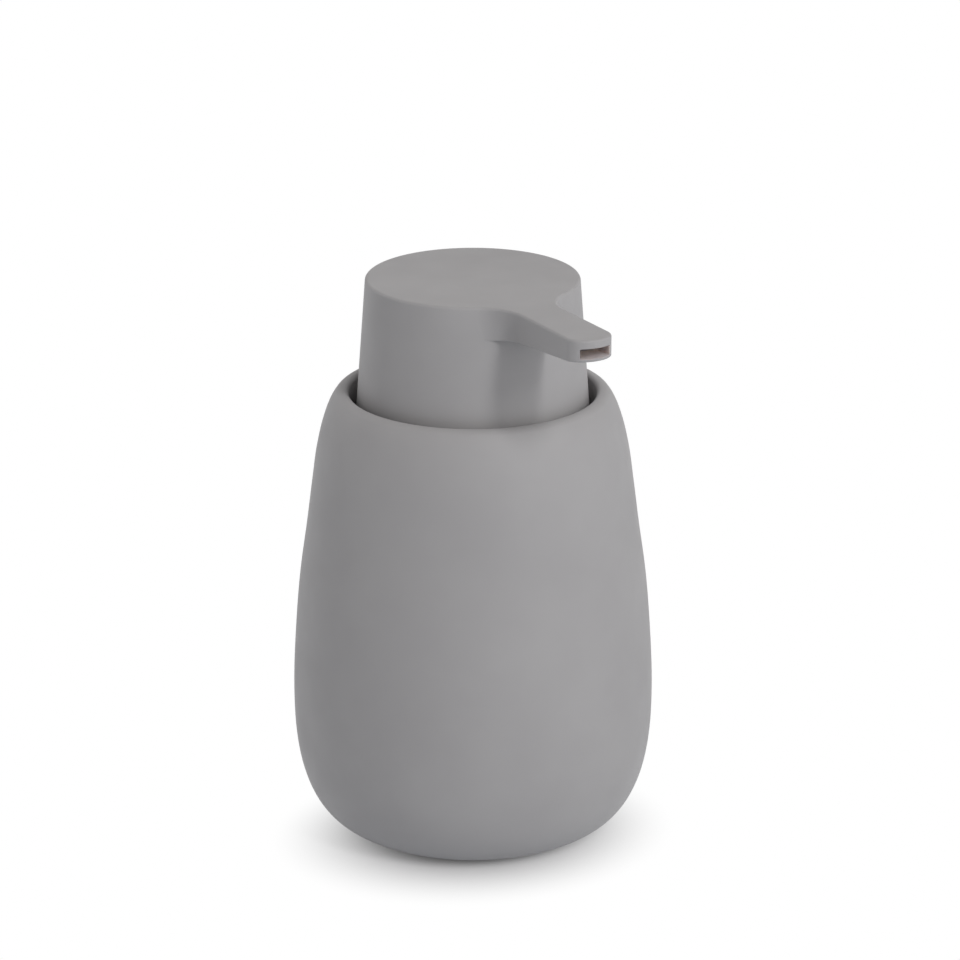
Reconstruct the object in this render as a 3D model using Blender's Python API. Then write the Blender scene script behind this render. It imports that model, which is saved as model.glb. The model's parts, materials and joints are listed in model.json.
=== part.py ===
# Soap dispenser with a wide press head.
#
# A rounded stoneware vessel stands on a thin foot pad. A moulded plug sits on a ledge in its mouth and
# carries a spring-return lotion pump. The pump's stem carries a wide head with a flat spout, whose skirt
# dips into the vessel's mouth when the head is pressed.
#
# Metres, +Z up. The origin is the middle of the foot pad's underside, and the spout points along -Y.

import math

import bmesh
import bpy
from mathutils import Matrix, Vector

MM = 0.001


# Sizes that can be set by themselves

# Running and seating gaps
seat_gap = 0.3 * MM
overrun = 5.0 * MM

# Vessel
body_radius = 40.0 * MM
body_height = 99.5 * MM
body_wall = 4.2 * MM
base_thickness = 6.0 * MM
base_flat_radius = 26.0 * MM
lip_rounding = 1.9 * MM
mouth_gap = 1.4 * MM
ledge_width = 2.3 * MM
ledge_length = 3.0 * MM
ledge_undercut = 7.0 * MM

# Foot pad
pad_radius = 23.0 * MM
pad_thickness = 1.4 * MM
pad_proud = 0.3 * MM

# Press head
head_top_radius = 23.2 * MM
head_height = 31.7 * MM
head_draft = math.radians(4.3)
head_edge_rounding = 0.6 * MM
head_wall = 1.8 * MM
head_top_thickness = 2.2 * MM
skirt_dip = 6.5 * MM
snap_bead = 0.5 * MM
snap_bead_height = 1.2 * MM

# Spout
spout_length = 29.0 * MM
spout_width = 10.2 * MM
spout_root_depth = 7.1 * MM
spout_rise_share = 0.08
spout_fillet = 10.5 * MM
nose_length = 4.3 * MM
channel_width = 7.2 * MM
channel_height = 2.25 * MM
channel_floor = 0.65 * MM
duct_gap = 0.2 * MM
duct_wall = 0.4 * MM
duct_recess = 7.0 * MM

# Travel
stroke = 12.0 * MM
press_margin = 1.7 * MM
ball_lift = 1.2 * MM

# Plug and its seal
plug_height = 7.0 * MM
plug_floor = 2.4 * MM
plug_flange = 1.5 * MM
plug_wall = 1.6 * MM
plug_side_gap = 0.6 * MM
plug_rib_width = 1.2 * MM
plug_rib_count = 6
seal_depth = 2.9 * MM
seal_body_gap = 1.4 * MM
seal_fin_height = 0.8 * MM
seal_fin_count = 3
neck_height = 8.0 * MM
neck_wall = 2.3 * MM
neck_bead = 0.9 * MM

# Collar
collar_wall = 1.9 * MM
collar_top = 1.6 * MM
collar_floor_gap = 0.8 * MM
grip_depth = 0.5 * MM

# Pump cylinder
bore_radius = 6.6 * MM
housing_wall = 1.3 * MM
housing_flange = 1.6 * MM
gasket_thickness = 1.0 * MM
guide_flange = 1.4 * MM
guide_depth = 6.0 * MM
guide_nose = 0.8 * MM
wiper_width = 1.1 * MM
wiper_height = 1.3 * MM

# Stem and piston
stem_radius = 3.6 * MM
stem_bore = 2.0 * MM
stem_shoulder = 1.8 * MM
stem_ring_height = 1.2 * MM
stem_groove = 0.4 * MM
stem_clip = 1.0 * MM
stem_head_radius = 4.2 * MM
piston_height = 8.0 * MM
piston_lip = 0.9 * MM
piston_lip_height = 1.6 * MM
outlet_ball_radius = 2.4 * MM
outlet_chamber_gap = 0.6 * MM
outlet_chamber_depth = 6.3 * MM

# Spring and inlet valve
spring_wire_radius = 0.45 * MM
spring_side_gap = 0.6 * MM
spring_turns = 9
spring_reserve = 2.4 * MM
spring_end_pitch = 1.45 * MM
seat_washer = 1.2 * MM
cage_thickness = 1.2 * MM
cage_hole_radius = 0.9 * MM
cage_hole_count = 4
cage_ring_share = 0.75
inlet_ball_radius = 2.6 * MM
inlet_hole_radius = 1.8 * MM
inlet_chamber_gap = 0.7 * MM
inlet_web = 1.6 * MM

# Dip tube
tube_radius = 3.0 * MM
tube_wall = 0.8 * MM
tube_socket_depth = 8.0 * MM
tube_floor_gap = 3.0 * MM
tube_cut_slope_share = 0.5

# Core inside the head
hub_wall = 1.7 * MM
core_flange = 1.8 * MM
core_flange_drop = 1.2 * MM
core_rib_width = 1.2 * MM
core_rib_count = 6
stop_post_radius = 1.0 * MM

# How finely round pieces are divided
large_steps = 48
medium_steps = 36
small_steps = 24
tube_steps = 16
nose_steps = 8
fillet_steps = 6
lip_steps = 5
edge_steps = 4
flank_steps = 2
spring_steps = 10
weld_share = 0.001


# Heights and radii worked out from the sizes above

# Vessel and head
base_z = pad_proud
rim_z = base_z + body_height
floor_z = base_z + base_thickness
skirt_z = rim_z - skirt_dip
top_z = skirt_z + head_height
ceiling_z = top_z - head_top_thickness
head_slope = math.tan(head_draft)
skirt_radius = head_top_radius + head_slope * head_height
throat_radius = skirt_radius + mouth_gap
crest_radius = throat_radius + lip_rounding
spout_reach = head_top_radius + spout_length

# Plug stack
plug_top_z = skirt_z - stroke - press_margin
plug_z = plug_top_z - plug_height
ledge_z = plug_z - seat_gap
ledge_radius = throat_radius - ledge_width
housing_radius = bore_radius + housing_wall
neck_bore = housing_radius + seat_gap
neck_radius = neck_bore + neck_wall
neck_z = plug_z + neck_height
gasket_z = neck_z + seat_gap
flange_z = gasket_z + gasket_thickness + seat_gap
guide_z = flange_z + housing_flange + seat_gap
collar_top_z = guide_z + guide_flange + seat_gap + collar_top
guide_top_z = collar_top_z + guide_nose
guide_bore = stem_radius + seat_gap
guide_end_z = guide_z - guide_depth

# Moving pump parts at rest
stem_stop_z = guide_end_z - seat_gap
piston_top_z = stem_stop_z - stem_ring_height - seat_gap
piston_z = piston_top_z - piston_height
stem_clip_z = piston_z - seat_gap - stem_ring_height
spring_seat_z = stem_clip_z - seat_gap - seat_washer
spring_top_z = spring_seat_z - seat_gap
spring_solid = 2 * spring_wire_radius * (spring_turns + 1)
spring_z = spring_top_z - stroke - spring_solid - spring_reserve

# Inlet valve and tube
cage_z = spring_z - seat_gap - cage_thickness
step_z = cage_z - seat_gap
inlet_ball_z = cage_z - seat_gap - ball_lift - inlet_ball_radius
inlet_seat_z = inlet_ball_z - math.sqrt(inlet_ball_radius**2 - inlet_hole_radius**2) - seat_gap
socket_z = inlet_seat_z - inlet_web
housing_end_z = socket_z - tube_socket_depth
tube_top_z = socket_z - seat_gap
tube_end_z = floor_z + tube_floor_gap

# Spout channel, which rises along the spout like the underside
spout_under_z = top_z - spout_root_depth
channel_angle = math.atan(spout_rise_share)
spout_turn = math.tau * 3 / 4

# Core and the top of the stem
hub_bore = stem_head_radius + seat_gap
hub_radius = hub_bore + hub_wall
hub_z = guide_top_z + press_margin + stroke
hub_top_z = ceiling_z - seat_gap


def head_radius_at(height):
    """The head widens downwards by its draft."""
    return head_top_radius + head_slope * (top_z - height)


def fillet_centre(radius, half_width, fillet):
    """Middle of the hollow round, as (along, across), between the head's circle and the spout's side."""
    across = half_width + fillet
    return math.sqrt((radius + fillet) ** 2 - across**2), across


def spout_root_along():
    """How far forward the rounds leave the head's circle, which is where the underside starts to rise."""
    radius = head_radius_at(spout_under_z)
    along, across = fillet_centre(radius, spout_width / 2, spout_fillet)
    return along * radius / (radius + spout_fillet)


def underside_z(along):
    """Height of the spout's underside at a distance from the axis; it rises towards the nose."""
    return spout_under_z + spout_rise_share * (along - spout_root_along())


port_z = underside_z(hub_radius) + channel_floor
stem_top_z = port_z - core_flange_drop
outlet_chamber_radius = outlet_ball_radius + outlet_chamber_gap
outlet_seat_z = stem_top_z - outlet_chamber_depth
outlet_ball_z = (
    outlet_seat_z + math.sqrt(outlet_ball_radius**2 - stem_bore**2) + seat_gap
)
stop_post_z = outlet_ball_z + outlet_ball_radius + ball_lift + seat_gap
core_flange_z = port_z - core_flange_drop - core_flange


# Materials

soft_grey = (0.335, 0.327, 0.332)
raw_plastic = (0.555, 0.515, 0.520)
natural_white = (0.780, 0.780, 0.740)
seal_grey = (0.420, 0.420, 0.425)
steel_grey = (0.560, 0.560, 0.570)
dark_foam = (0.050, 0.050, 0.055)


def material(name, colour, roughness, metallic=0.0):
    """A plain Principled material, made once for each name."""
    made = bpy.data.materials.get(name) or bpy.data.materials.new(name)
    made.use_nodes = True
    shader = made.node_tree.nodes["Principled BSDF"]
    shader.inputs["Base Color"].default_value = (*colour, 1.0)
    shader.inputs["Roughness"].default_value = roughness
    shader.inputs["Metallic"].default_value = metallic
    made.diffuse_color = (*colour, 1.0)
    return made


def soft_touch():
    return material("soft_touch_grey", soft_grey, 0.75)


def inner_plastic():
    return material("inner_plastic", raw_plastic, 0.50)


def pump_plastic():
    return material("pump_plastic", natural_white, 0.40)


def silicone():
    return material("silicone", seal_grey, 0.60)


def steel():
    return material("spring_steel", steel_grey, 0.25, 1.0)


def foam():
    return material("pad_foam", dark_foam, 0.90)


# Building tools


def add_object(name, mesh, look):
    """Links a mesh as a named object with its material."""
    made = bpy.data.objects.new(name, mesh)
    bpy.context.scene.collection.objects.link(made)
    mesh.materials.append(look)
    return made


def finish_mesh(name, bm, smooth_under=math.radians(35)):
    """Welds, turns the faces outwards and shades the round stretches smooth."""
    bmesh.ops.remove_doubles(bm, verts=bm.verts, dist=seat_gap * weld_share)
    bmesh.ops.recalc_face_normals(bm, faces=bm.faces)
    mesh = bpy.data.meshes.new(name)
    bm.to_mesh(mesh)
    bm.free()
    mesh.shade_smooth()
    mesh.set_sharp_from_angle(angle=smooth_under)
    return mesh


def turned_mesh(name, profile, steps):
    """Spins a profile of (radius, height) points about Z. A profile that meets the axis stays open there."""
    bm = bmesh.new()
    points = [bm.verts.new((radius, 0.0, height)) for radius, height in profile]
    chain = [bm.edges.new(pair) for pair in zip(points, points[1:])]
    meets_axis = profile[0][0] == 0.0 and profile[-1][0] == 0.0
    if not meets_axis:
        chain.append(bm.edges.new((points[-1], points[0])))
    bmesh.ops.spin(
        bm,
        geom=points + chain,
        cent=(0.0, 0.0, 0.0),
        axis=(0.0, 0.0, 1.0),
        angle=math.tau,
        steps=steps,
    )
    return finish_mesh(name, bm)


def turned(name, profile, look, steps=large_steps):
    return add_object(name, turned_mesh(name, profile, steps), look)


def cutter(made):
    """Marks an object as a cutting tool, which is neither rendered nor built."""
    made.hide_render = True
    made.display_type = "WIRE"
    return made


def combine(target, tool, operation):
    """Cuts or joins a tool with an object by a Boolean that stays on it."""
    step = target.modifiers.new(f"{operation.lower()}_{tool.name}", "BOOLEAN")
    step.operation = operation
    step.object = cutter(tool)
    step.solver = "EXACT"
    return target


def block(name, low, high, look):
    """A box between two corners."""
    bm = bmesh.new()
    size = [b - a for a, b in zip(low, high)]
    middle = [(a + b) / 2 for a, b in zip(low, high)]
    place = Matrix.Translation(middle) @ Matrix.Diagonal((*size, 1.0))
    bmesh.ops.create_cube(bm, size=1.0, matrix=place)
    return add_object(name, finish_mesh(name, bm), look)


def arc(centre, radius, start, end, count):
    """Points on a round stretch of a profile, from one angle to another, both ends included."""
    angles = [start + (end - start) * i / count for i in range(count + 1)]
    return [
        (centre[0] + radius * math.cos(a), centre[1] + radius * math.sin(a))
        for a in angles
    ]


def smooth_line(stations, steps):
    """Points along a smooth curve through the stations. The first and the last only guide its ends."""
    knots = [Vector(station) for station in stations]
    line = []
    for a, b, c, d in zip(knots, knots[1:], knots[2:], knots[3:]):
        before, span, after = (b - a).length, (c - b).length, (d - c).length
        leave = ((b - a) / before * span + (c - b) / span * before) / (before + span)
        reach = ((c - b) / span * after + (d - c) / after * span) / (span + after)
        for i in range(steps):
            t = i / steps
            near = b * (1 + 2 * t) * (1 - t) ** 2 + c * t * t * (3 - 2 * t)
            bend = (leave * (1 - t) - reach * t) * (span * t * (1 - t))
            line.append(tuple(near + bend))
    line.append(tuple(knots[-2]))
    return line


# Vessel

# Where the belly is widest, and how quickly the round base reaches it
belly_height_share = 0.30
base_power_share = 2.5
base_root_share = 0.42
base_curve_shares = (0.0, 0.004, 0.02, 0.06, 0.14, 0.28, 0.50, 0.75)
inner_base_shares = (0.0, 0.02, 0.10, 0.30, 0.60)

# From the belly up to the lip's crest, as shares of the way out from the crest and of the height
flank_shares = (
    (1.000, 0.300),
    (0.936, 0.455),
    (0.839, 0.575),
    (0.685, 0.695),
    (0.564, 0.792),
    (0.459, 0.870),
    (0.328, 0.930),
    (0.190, 0.968),
    (0.105, 0.988),
    (0.000, 1.000),
)

belly_z = base_z + belly_height_share * body_height


def base_radius_at(rise_share, flat, widest):
    """Radius of the round base, as a share of the rise from its flat to the belly."""
    swell = (1 - (1 - rise_share) ** base_power_share) ** base_root_share
    return flat + (widest - flat) * swell


def flank_profile():
    """The outside from the belly, where it stands upright, to the crest, where it lies level."""
    spread = body_radius - crest_radius
    knots = [
        (crest_radius + out * spread, base_z + up * body_height) for out, up in flank_shares
    ]
    below = (knots[1][0], 2 * knots[0][1] - knots[1][1])
    beyond = (2 * crest_radius - knots[-2][0], knots[-2][1])
    return smooth_line([below] + knots + [beyond], flank_steps)


def base_profile(shares, flat, widest, low):
    return [
        (base_radius_at(s, flat, widest), low + s * (belly_z - low)) for s in shares
    ]


def inner_body_profile(flank):
    """From the throat down over the ledge and its undercut, and along the inner wall to the floor."""
    neck_end_z = ledge_z - ledge_length
    cavity_top_z = neck_end_z - ledge_undercut
    neck = [
        (throat_radius, ledge_z),
        (ledge_radius, ledge_z),
        (ledge_radius, neck_end_z),
    ]
    wall = [(r - body_wall, z) for r, z in reversed(flank) if z < cavity_top_z]
    corner = base_profile(
        inner_base_shares, base_flat_radius - body_wall, body_radius - body_wall, floor_z
    )
    return neck + wall + corner[::-1] + [(0.0, floor_z)]


def build_vessel():
    recess_radius = pad_radius + seat_gap
    recess_z = pad_thickness + seat_gap
    recess = [(0.0, recess_z), (recess_radius, recess_z), (recess_radius, base_z)]
    base = base_profile(base_curve_shares, base_flat_radius, body_radius, base_z)
    flank = flank_profile()
    lip = arc((crest_radius, rim_z - lip_rounding), lip_rounding, math.pi / 2, math.pi, lip_steps)
    outside = recess + base + flank + lip[1:]
    turned("vessel", outside + inner_body_profile(flank), soft_touch())


def build_foot_pad():
    profile = [(0.0, 0.0), (pad_radius, 0.0), (pad_radius, pad_thickness), (0.0, pad_thickness)]
    turned("foot_pad", profile, foam())


# Plug, seal, gasket and collar


def build_mouth_plug():
    rim_outer = throat_radius - plug_side_gap
    groove = throat_radius - seal_depth
    rim_inner = groove - plug_wall
    top_outer = throat_radius - seal_body_gap
    floor_top = plug_z + plug_floor
    bead_z = neck_z - neck_bead
    profile = [
        (neck_bore, plug_z),
        (rim_outer, plug_z),
        (rim_outer, plug_z + plug_flange),
        (groove, plug_z + plug_flange),
        (groove, plug_top_z - plug_flange),
        (top_outer, plug_top_z - plug_flange),
        (top_outer, plug_top_z),
        (rim_inner, plug_top_z),
        (rim_inner, floor_top),
        (neck_radius, floor_top),
        (neck_radius, bead_z - neck_bead),
        (neck_radius + neck_bead, bead_z),
        (neck_radius, neck_z),
        (neck_bore, neck_z),
    ]
    plug = turned("mouth_plug", profile, pump_plastic(), medium_steps)
    for i in range(plug_rib_count):
        rib = block(
            f"plug_rib_{i + 1}",
            (collar_outer_radius() + seat_gap, -plug_rib_width / 2, floor_top - plug_floor / 2),
            (rim_inner + plug_wall / 2, plug_rib_width / 2, plug_top_z - plug_flange),
            pump_plastic(),
        )
        rib.rotation_euler.z = math.tau * (i + 1 / 2) / plug_rib_count
        combine(plug, rib, "UNION")


def build_plug_seal():
    """A silicone ring with fins that grip the throat."""
    inner = throat_radius - seal_depth + seat_gap
    body = throat_radius - seal_body_gap
    fin = throat_radius - seat_gap
    low = plug_z + plug_flange + seat_gap
    high = plug_top_z - plug_flange - seat_gap
    pitch = (high - low) / seal_fin_count
    profile = [(inner, high), (inner, low)]
    for i in range(seal_fin_count):
        root = low + i * pitch
        middle = root + pitch / 2
        profile += [
            (body, root),
            (fin, middle),
            (fin, middle + seal_fin_height / 2),
        ]
    profile.append((body, high))
    turned("plug_seal", profile, silicone(), medium_steps)


def build_housing_gasket():
    profile = [
        (neck_bore, gasket_z),
        (neck_radius, gasket_z),
        (neck_radius, gasket_z + gasket_thickness),
        (neck_bore, gasket_z + gasket_thickness),
    ]
    turned("housing_gasket", profile, silicone(), small_steps)


def collar_outer_radius():
    return neck_radius + neck_bead + seat_gap + collar_wall + grip_depth


def build_collar():
    """The snap closure: an inner bead hooks under the neck's bead, and grip flutes run down its side."""
    inner = neck_radius + neck_bead + seat_gap
    hook = neck_radius + seat_gap
    outer = inner + collar_wall + grip_depth
    low = plug_z + plug_floor + collar_floor_gap
    hook_z = neck_z - 3 * neck_bead - seat_gap
    lid_z = collar_top_z - collar_top
    hole = housing_radius - housing_wall + seat_gap
    profile = [
        (hole, lid_z),
        (inner, lid_z),
        (inner, hook_z),
        (hook, hook_z - neck_bead / 2),
        (hook, hook_z - neck_bead),
        (inner, low),
        (outer, low),
        (outer, collar_top_z - grip_depth),
        (outer - grip_depth, collar_top_z),
        (hole, collar_top_z),
    ]
    mesh = turned_mesh("collar", profile, medium_steps)
    for point in mesh.vertices:
        side = point.co.xy.length
        column = round(math.atan2(point.co.y, point.co.x) / math.tau * medium_steps)
        if side > outer - grip_depth / 2 and column % 2:
            point.co.xy *= (outer - grip_depth) / outer
    add_object("collar", mesh, pump_plastic())


# Pump cylinder and what is fixed in it


def build_pump_housing():
    lower_radius = tube_radius + seat_gap + housing_wall
    chamber = inlet_ball_radius + inlet_chamber_gap
    waist_z = step_z - housing_wall
    lower = max(lower_radius, chamber + housing_wall)
    profile = [
        (bore_radius, flange_z + housing_flange),
        (bore_radius, step_z),
        (chamber, step_z),
        (chamber, inlet_seat_z + chamber - inlet_hole_radius),
        (inlet_hole_radius, inlet_seat_z),
        (inlet_hole_radius, socket_z),
        (tube_radius + seat_gap, socket_z),
        (tube_radius + seat_gap, housing_end_z),
        (lower_radius, housing_end_z),
        (lower_radius, socket_z),
        (lower, inlet_seat_z),
        (lower, waist_z - (housing_radius - lower)),
        (housing_radius, waist_z),
        (housing_radius, flange_z),
        (neck_radius, flange_z),
        (neck_radius, flange_z + housing_flange),
    ]
    turned("pump_housing", profile, pump_plastic(), small_steps)


def build_stem_guide():
    body = bore_radius - seat_gap
    recess = stem_radius + wiper_width + 2 * seat_gap
    recess_z = guide_top_z - wiper_height - seat_gap
    profile = [
        (guide_bore, guide_end_z),
        (body, guide_end_z),
        (body, guide_z),
        (housing_radius, guide_z),
        (housing_radius, guide_z + guide_flange),
        (body, guide_z + guide_flange),
        (body, guide_top_z),
        (recess, guide_top_z),
        (recess, recess_z),
        (guide_bore, recess_z),
    ]
    turned("stem_guide", profile, pump_plastic(), small_steps)


def build_stem_wiper():
    """A ring with a raised lip that lies against the stem."""
    low = guide_top_z - wiper_height
    outer = guide_bore + wiper_width
    profile = [
        (guide_bore, low),
        (outer, low),
        (outer, low + wiper_height / 2),
        (guide_bore + wiper_width / 2, guide_top_z),
        (guide_bore, guide_top_z),
    ]
    turned("stem_wiper", profile, silicone(), small_steps)


def build_inlet_cage():
    """The disc that carries the spring. Liquid passes its ring of holes while its middle stops the ball."""
    radius = bore_radius - seat_gap
    top = cage_z + cage_thickness
    profile = [(0.0, cage_z), (radius, cage_z), (radius, top), (0.0, top)]
    cage = turned("inlet_cage", profile, pump_plastic(), small_steps)
    ring = (inlet_ball_radius + inlet_chamber_gap + cage_hole_radius) * cage_ring_share
    bore = [
        (0.0, cage_z - overrun),
        (cage_hole_radius, cage_z - overrun),
        (cage_hole_radius, top + overrun),
        (0.0, top + overrun),
    ]
    for i in range(cage_hole_count):
        drill = turned(f"cage_drill_{i + 1}", bore, pump_plastic(), tube_steps)
        turn = math.tau * i / cage_hole_count
        drill.location = (ring * math.cos(turn), ring * math.sin(turn), 0.0)
        combine(cage, drill, "DIFFERENCE")


def build_dip_tube():
    """A plain tube whose lower end is cut on the slant, so that it can't seal against the floor."""
    bore = tube_radius - tube_wall
    profile = [
        (bore, tube_end_z),
        (tube_radius, tube_end_z),
        (tube_radius, tube_top_z),
        (bore, tube_top_z),
    ]
    mesh = turned_mesh("dip_tube", profile, tube_steps)
    for point in mesh.vertices:
        if point.co.z < (tube_end_z + tube_top_z) / 2:
            point.co.z += tube_cut_slope_share * (tube_radius + point.co.x)
    add_object("dip_tube", mesh, pump_plastic())


def build_ball(name, radius, height):
    bm = bmesh.new()
    bmesh.ops.create_uvsphere(bm, u_segments=tube_steps, v_segments=tube_steps // 2, radius=radius)
    ball = add_object(name, finish_mesh(name, bm), steel())
    ball.location.z = height


# Plunger, spring and stem


def build_piston():
    """The sliding seal: a sleeve on the stem with a wiping lip at each end."""
    sleeve = stem_radius - stem_groove + seat_gap
    lip = bore_radius - seat_gap
    waist = lip - piston_lip
    profile = [
        (sleeve, piston_z),
        (lip - piston_lip / 2, piston_z),
        (lip, piston_z + piston_lip_height / 2),
        (waist, piston_z + piston_lip_height),
        (waist, piston_top_z - piston_lip_height),
        (lip, piston_top_z - piston_lip_height / 2),
        (lip - piston_lip / 2, piston_top_z),
        (sleeve, piston_top_z),
    ]
    turned("piston", profile, silicone(), small_steps)


def build_spring_seat():
    outer = bore_radius - 2 * seat_gap
    top = spring_seat_z + seat_washer
    profile = [
        (stem_bore, spring_seat_z),
        (outer, spring_seat_z),
        (outer, top),
        (stem_bore, top),
    ]
    turned("spring_seat", profile, pump_plastic(), small_steps)


def spring_points():
    """The wire's middle line: a closer turn at each end and an even pitch between them."""
    low = spring_z + spring_wire_radius
    high = spring_top_z - spring_wire_radius
    coil = bore_radius - spring_side_gap - spring_wire_radius
    pitch = (high - low - 2 * spring_end_pitch) / (spring_turns - 2)
    points = []
    for i in range(spring_turns * spring_steps + 1):
        turn = i / spring_steps
        climb = min(turn, 1) * spring_end_pitch
        climb += max(0, min(turn, spring_turns - 1) - 1) * pitch
        climb += max(0, turn - (spring_turns - 1)) * spring_end_pitch
        angle = math.tau * turn
        points.append(Vector((coil * math.cos(angle), coil * math.sin(angle), low + climb)))
    return points


def build_spring():
    points = spring_points()
    line = bpy.data.curves.new("spring_line", "CURVE")
    line.dimensions = "3D"
    line.bevel_depth = spring_wire_radius
    line.bevel_resolution = 1
    line.use_fill_caps = True
    wire = line.splines.new("POLY")
    wire.points.add(len(points) - 1)
    for knot, point in zip(wire.points, points):
        knot.co = (*point, 1.0)
    add_object("spring", line, steel())
    gaps = [
        (points[i] - points[i + spring_steps]).length - 2 * spring_wire_radius
        for i in range(len(points) - spring_steps)
    ]
    print(f"spring: least gap between turns {min(gaps) / MM:.2f} mm")


def build_stem():
    """A hollow rod. Rings hold the piston at its foot, and its head holds the outlet ball on a seat."""
    groove = stem_radius - stem_groove
    top = stem_top_z
    head_start = outlet_seat_z - stem_ring_height
    profile = [
        (stem_bore, stem_clip_z),
        (groove + stem_clip, stem_clip_z),
        (groove + stem_clip, stem_clip_z + stem_ring_height),
        (groove, stem_clip_z + stem_ring_height),
        (groove, stem_stop_z - stem_ring_height),
        (stem_radius + stem_shoulder, stem_stop_z - stem_ring_height),
        (stem_radius + stem_shoulder, stem_stop_z),
        (stem_radius, stem_stop_z),
        (stem_radius, head_start),
        (stem_head_radius, outlet_seat_z),
        (stem_head_radius, top),
        (outlet_chamber_radius, top),
        (outlet_chamber_radius, outlet_seat_z + outlet_chamber_radius - stem_bore),
        (stem_bore, outlet_seat_z),
    ]
    turned("stem", profile, pump_plastic(), small_steps)


# Press head


def back_step_count():
    """Steps round the head's back, the same at every height."""
    along, across = fillet_centre(head_top_radius, spout_width / 2, spout_fillet)
    return round(large_steps / 2 * (1 - math.atan2(across, along) / math.pi))


def head_half_outline(height, inset):
    """Half of the head's plan as (along, across): from the nose along the spout and round the back."""
    radius = head_radius_at(height) - inset
    half_width = spout_width / 2 - inset
    fillet = spout_fillet + inset
    nose_start = spout_reach - nose_length
    nose = [
        (nose_start + (nose_length - inset) * math.cos(a), half_width * math.sin(a))
        for a in (math.pi / 2 * i / nose_steps for i in range(nose_steps + 1))
    ]
    centre = fillet_centre(radius, half_width, fillet)
    turn = math.atan2(centre[1], centre[0])
    bend = arc(centre, fillet, -math.pi / 2, turn - math.pi, fillet_steps)
    back = arc((0.0, 0.0), radius, turn, math.pi, back_step_count())
    return nose + bend, back[1:]


def head_outline(height, inset=0.0):
    """The whole plan, round from the nose by one side and the back, and how many points lead to the root."""
    spout, back = head_half_outline(height, inset)
    half = spout + back
    other = [(along, -across) for along, across in reversed(half[1:-1])]
    return half + other, len(spout)


def ring(bm, outline, height_of):
    return [bm.verts.new((across, -along, height_of(along))) for along, across in outline]


def band(bm, upper, lower):
    """Side faces between two rings of equal length."""
    for i in range(len(upper)):
        j = (i + 1) % len(upper)
        bm.faces.new((upper[i], upper[j], lower[j], lower[i]))


def head_solid():
    """The head's outside as one solid: rounded top edge, spout with a flat rising underside, and skirt."""
    bm = bmesh.new()
    upper = None
    for i in range(edge_steps + 1):
        angle = math.pi / 2 * i / edge_steps
        inset = head_edge_rounding * (1 - math.sin(angle))
        height = top_z - head_edge_rounding * (1 - math.cos(angle))
        outline, spout_count = head_outline(height, inset)
        level = ring(bm, outline, lambda along, z=height: z)
        if upper is None:
            bm.faces.new(level)
        else:
            band(bm, upper, level)
        upper = level
    outline, spout_count = head_outline(spout_under_z)

    def under(along):
        return max(spout_under_z, underside_z(along))

    lower = ring(bm, outline, under)
    band(bm, upper, lower)
    count = len(lower)
    root = math.atan2(outline[spout_count - 1][1], outline[spout_count - 1][0])
    front = arc((0.0, 0.0), head_radius_at(spout_under_z), -root, root, fillet_steps)
    below = ring(bm, front[1:-1], lambda along: spout_under_z)
    spout_edge = lower[count - spout_count + 1 :] + lower[:spout_count]
    bm.faces.new(spout_edge + list(reversed(below)))
    skirt_top = lower[spout_count - 1 : count - spout_count + 2] + below
    skirt = []
    for point in skirt_top:
        turn = Vector((point.co.x, point.co.y)).normalized() * skirt_radius
        skirt.append(bm.verts.new((turn.x, turn.y, skirt_z)))
    band(bm, skirt_top, skirt)
    bm.faces.new(skirt)
    return finish_mesh("head_shell", bm)


def cavity_profile():
    """Inside of the skirt, with the bead that the core's disc snaps over."""
    bead_top = core_flange_z - seat_gap
    bead_low = bead_top - snap_bead_height

    def inside(height):
        return head_radius_at(height) - head_wall

    low = skirt_z - overrun
    return [
        (0.0, low),
        (inside(low), low),
        (inside(bead_low), bead_low),
        (inside(bead_low) - snap_bead, bead_low + snap_bead),
        (inside(bead_top) - snap_bead, bead_top - snap_bead / 2),
        (inside(bead_top), bead_top),
        (inside(ceiling_z), ceiling_z),
        (0.0, ceiling_z),
    ]


def channel_block(name, half_width, low, high, start, end, look):
    """A box that lies along the rising channel; its heights are counted from the spout's underside."""
    made = block(name, (-half_width, -end, low), (half_width, -start, high), look)
    root = spout_root_along()
    tilt = Matrix.Rotation(-channel_angle, 4, "X")
    made.data.transform(Matrix.Translation((0.0, root, 0.0)))
    made.data.transform(Matrix.Translation((0.0, -root, spout_under_z)) @ tilt)
    return made


def build_head_shell():
    shell = add_object("head_shell", head_solid(), soft_touch())
    cavity = turned("head_cavity", cavity_profile(), inner_plastic())
    combine(shell, cavity, "DIFFERENCE")
    inside = head_radius_at(ceiling_z) - 2 * head_wall - overrun
    channel = channel_block(
        "head_channel",
        channel_width / 2,
        channel_floor,
        channel_floor + channel_height,
        inside,
        spout_reach + overrun,
        inner_plastic(),
    )
    combine(shell, channel, "DIFFERENCE")


def build_outlet_duct():
    """The flat tube that lines the channel, from the core's chamber to a little way inside the slot."""
    start = hub_radius - hub_wall / 2
    end = spout_reach - duct_recess
    outside = channel_width / 2 - duct_gap
    low = channel_floor + duct_gap
    high = channel_floor + channel_height - duct_gap
    duct = channel_block("outlet_duct", outside, low, high, start, end, inner_plastic())
    bore = channel_block(
        "duct_bore",
        outside - duct_wall,
        low + duct_wall,
        high - duct_wall,
        start - overrun,
        end + overrun,
        inner_plastic(),
    )
    combine(duct, bore, "DIFFERENCE")


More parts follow.
